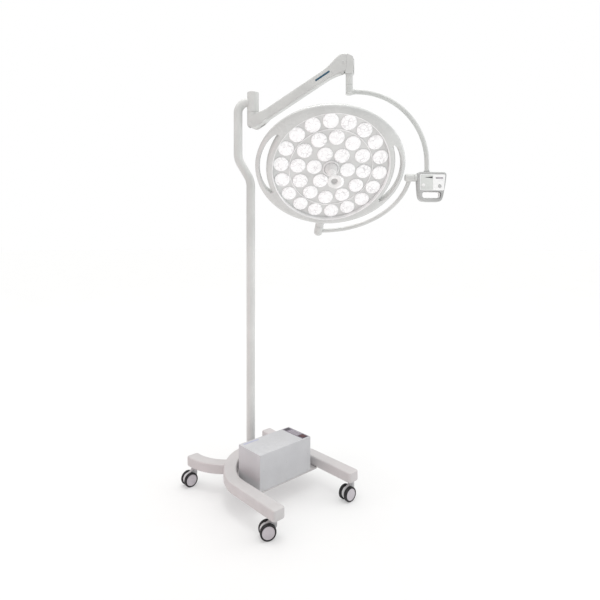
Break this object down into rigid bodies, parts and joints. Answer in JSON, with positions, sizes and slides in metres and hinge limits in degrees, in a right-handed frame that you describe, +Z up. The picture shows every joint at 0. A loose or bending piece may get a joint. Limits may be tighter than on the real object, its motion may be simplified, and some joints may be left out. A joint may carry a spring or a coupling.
{
  "type": "mobile surgical light",
  "caption": "Castored floor-standing surgical light: power box, cranked pole, sprung arm, two-arc yoke with control panel, and a round multi-lens head with grip loops.",
  "frame": {"origin": "centre of the whole light's bounding box, on the floor", "axes": "+Z up; +X along the power box's long side; -Y is the side the front arch opens to"},
  "size_m": [0.9234, 0.8762, 2.033],
  "materials": {
    "warm_grey_paint": "satin powder coat",
    "off_white_paint": "satin powder coat",
    "case_grey_paint": "fine-texture powder coat",
    "dark_plastic": "moulded",
    "rocker_red": "gloss",
    "steel": "turned",
    "bush_bronze": "turned bearing bronze",
    "tyre_black": "matt tread",
    "hub_grey": "moulded nylon",
    "lens_white": "polished clear-white optics",
    "board_white": "laminate board",
    "panel_white": "membrane sheet",
    "button_grey": "moulded",
    "handle_grey": "autoclavable polymer"
  },
  "bodies": {
    "stand": {"base_arch_front": "off_white_paint", "base_leg_rear_left": "off_white_paint", "base_leg_rear_right": "off_white_paint", "base_hub_block": "off_white_paint", "base_plate": "off_white_paint", "pole_foot": "off_white_paint", "pole_tube": "warm_grey_paint", "pole_sleeve": "warm_grey_paint", "sleeve_bush": "bush_bronze", "box_case": "case_grey_paint", "battery_pack": "dark_plastic", "status_panel": "dark_plastic", "mains_inlet": "dark_plastic"},
    "rocker": {"power_rocker": "rocker_red"},
    "caster_front_left": {"caster_front_left_hood": "hub_grey", "caster_front_left_axle": "steel"},
    "wheel_front_left_inner": {"caster_front_left_tyre_inner": "tyre_black", "caster_front_left_hub_inner": "hub_grey"},
    "wheel_front_left_outer": {"caster_front_left_tyre_outer": "tyre_black", "caster_front_left_hub_outer": "hub_grey"},
    "caster_front_right": {"caster_front_right_hood": "hub_grey", "caster_front_right_axle": "steel"},
    "wheel_front_right_inner": {"caster_front_right_tyre_inner": "tyre_black", "caster_front_right_hub_inner": "hub_grey"},
    "wheel_front_right_outer": {"caster_front_right_tyre_outer": "tyre_black", "caster_front_right_hub_outer": "hub_grey"},
    "caster_rear_left": {"caster_rear_left_hood": "hub_grey", "caster_rear_left_axle": "steel"},
    "wheel_rear_left_inner": {"caster_rear_left_tyre_inner": "tyre_black", "caster_rear_left_hub_inner": "hub_grey"},
    "wheel_rear_left_outer": {"caster_rear_left_tyre_outer": "tyre_black", "caster_rear_left_hub_outer": "hub_grey"},
    "caster_rear_right": {"caster_rear_right_hood": "hub_grey", "caster_rear_right_axle": "steel"},
    "wheel_rear_right_inner": {"caster_rear_right_tyre_inner": "tyre_black", "caster_rear_right_hub_inner": "hub_grey"},
    "wheel_rear_right_outer": {"caster_rear_right_tyre_outer": "tyre_black", "caster_rear_right_hub_outer": "hub_grey"},
    "arm_base": {"arm_base_knuckle": "warm_grey_paint", "arm_pin_base": "steel"},
    "arm": {"arm_beam": "warm_grey_paint", "arm_spring_cartridge": "steel", "arm_tie_rod": "steel", "arm_pin_tip": "steel"},
    "arm_tip": {"arm_tip_knuckle": "warm_grey_paint"},
    "yoke": {"yoke_hub": "warm_grey_paint", "yoke_outer_tube": "warm_grey_paint", "panel_housing": "hub_grey", "panel_face": "panel_white", "pitch_pivot": "warm_grey_paint"},
    "button_lamp": {"panel_button_lamp": "button_grey"},
    "button_mode": {"panel_button_mode": "button_grey"},
    "inner_yoke": {"inner_yoke_boss": "warm_grey_paint", "inner_yoke_tube": "warm_grey_paint", "inner_yoke_bearing": "warm_grey_paint"},
    "head": {"head_housing": "hub_grey", "led_board": "board_white", "lens_plate": "lens_white", "handle_collar": "handle_grey"},
    "handle": {"sterile_handle": "handle_grey"}
  },
  "joints": [
    {"name": "caster_front_left_swivel", "type": "hinge", "parent": "stand", "child": "caster_front_left", "pos_m": [-0.3828, -0.1656, 0.08], "axis": [0, 0, 1], "continuous": true},
    {"name": "wheel_front_left_inner_spin", "type": "hinge", "parent": "caster_front_left", "child": "wheel_front_left_inner", "pos_m": [-0.4059, -0.15368, 0.033], "axis": [0.4586, 0.8886, 0], "continuous": true},
    {"name": "wheel_front_left_outer_spin", "type": "hinge", "parent": "caster_front_left", "child": "wheel_front_left_outer", "pos_m": [-0.4059, -0.15368, 0.033], "axis": [0.4586, 0.8886, 0], "continuous": true},
    {"name": "caster_front_right_swivel", "type": "hinge", "parent": "stand", "child": "caster_front_right", "pos_m": [0.0573, -0.183, 0.08], "axis": [0, 0, 1], "continuous": true},
    {"name": "wheel_front_right_inner_spin", "type": "hinge", "parent": "caster_front_right", "child": "wheel_front_right_inner", "pos_m": [0.03134, -0.18164, 0.033], "axis": [0.0523, 0.9986, 0], "continuous": true},
    {"name": "wheel_front_right_outer_spin", "type": "hinge", "parent": "caster_front_right", "child": "wheel_front_right_outer", "pos_m": [0.03134, -0.18164, 0.033], "axis": [0.0523, 0.9986, 0], "continuous": true},
    {"name": "caster_rear_left_swivel", "type": "hinge", "parent": "stand", "child": "caster_rear_left", "pos_m": [-0.4023, 0.4119, 0.08], "axis": [0, 0, 1], "continuous": true},
    {"name": "wheel_rear_left_inner_spin", "type": "hinge", "parent": "caster_rear_left", "child": "wheel_rear_left_inner", "pos_m": [-0.4283, 0.41235, 0.033], "axis": [0.0174, 0.9998, 0], "continuous": true},
    {"name": "wheel_rear_left_outer_spin", "type": "hinge", "parent": "caster_rear_left", "child": "wheel_rear_left_outer", "pos_m": [-0.4283, 0.41235, 0.033], "axis": [0.0174, 0.9998, 0], "continuous": true},
    {"name": "caster_rear_right_swivel", "type": "hinge", "parent": "stand", "child": "caster_rear_right", "pos_m": [0.0492, 0.4119, 0.08], "axis": [0, 0, 1], "continuous": true},
    {"name": "wheel_rear_right_inner_spin", "type": "hinge", "parent": "caster_rear_right", "child": "wheel_rear_right_inner", "pos_m": [0.02322, 0.41281, 0.033], "axis": [0.0349, 0.9994, 0], "continuous": true},
    {"name": "wheel_rear_right_outer_spin", "type": "hinge", "parent": "caster_rear_right", "child": "wheel_rear_right_outer", "pos_m": [0.02322, 0.41281, 0.033], "axis": [0.0349, 0.9994, 0], "continuous": true},
    {"name": "rocker_tilt", "type": "hinge", "parent": "stand", "child": "rocker", "pos_m": [-0.0523, 0.0234, 0.244], "axis": [1, 0, 0], "range_deg": [-6, 6]},
    {"name": "arm_swivel", "type": "hinge", "parent": "stand", "child": "arm_base", "pos_m": [-0.16869, 0.25597, 1.79], "axis": [0, 0, 1], "range_deg": [-120, 130]},
    {"name": "arm_tilt", "type": "hinge", "parent": "arm_base", "child": "arm", "pos_m": [-0.16335, 0.24752, 1.7415], "axis": [-0.8453, -0.5344, 0], "range_deg": [-55, 3]},
    {"name": "arm_tip_level", "type": "hinge", "parent": "arm", "child": "arm_tip", "pos_m": [0.07123, -0.12355, 1.99], "axis": [-0.8453, -0.5344, 0], "range_deg": [-4, 56]},
    {"name": "yoke_swivel", "type": "hinge", "parent": "arm_tip", "child": "yoke", "pos_m": [0.08518, -0.14562, 1.885], "axis": [0, 0, 1], "range_deg": [-8, 140]},
    {"name": "yoke_pitch", "type": "hinge", "parent": "yoke", "child": "inner_yoke", "pos_m": [0.31587, -0.32135, 1.4615], "axis": [0.7955, -0.606, 0], "range_deg": [-50, 85]},
    {"name": "head_turn", "type": "hinge", "parent": "inner_yoke", "child": "head", "pos_m": [0.08968, 0.05537, 1.24176], "axis": [0.2969, 0.5193, -0.8014], "range_deg": [-90, 90]},
    {"name": "handle_turn", "type": "hinge", "parent": "head", "child": "handle", "pos_m": [-0.02904, -0.14269, 1.47624], "axis": [-0.4871, -0.6394, -0.5948], "range_deg": [-120, 120]},
    {"name": "button_lamp_press", "type": "slide", "parent": "yoke", "child": "button_lamp", "axis": [0.606, 0.7955, 0], "range_m": [0, 0.0012], "stiffness_N_per_m": 400, "springref_m": -0.001},
    {"name": "button_mode_press", "type": "slide", "parent": "yoke", "child": "button_mode", "axis": [0.606, 0.7955, 0], "range_m": [0, 0.0012], "stiffness_N_per_m": 400, "springref_m": -0.001}
  ],
  "couplings": [
    {"joint": "arm_tip_level", "follows": "arm_tilt", "ratio": -1}
  ]
}
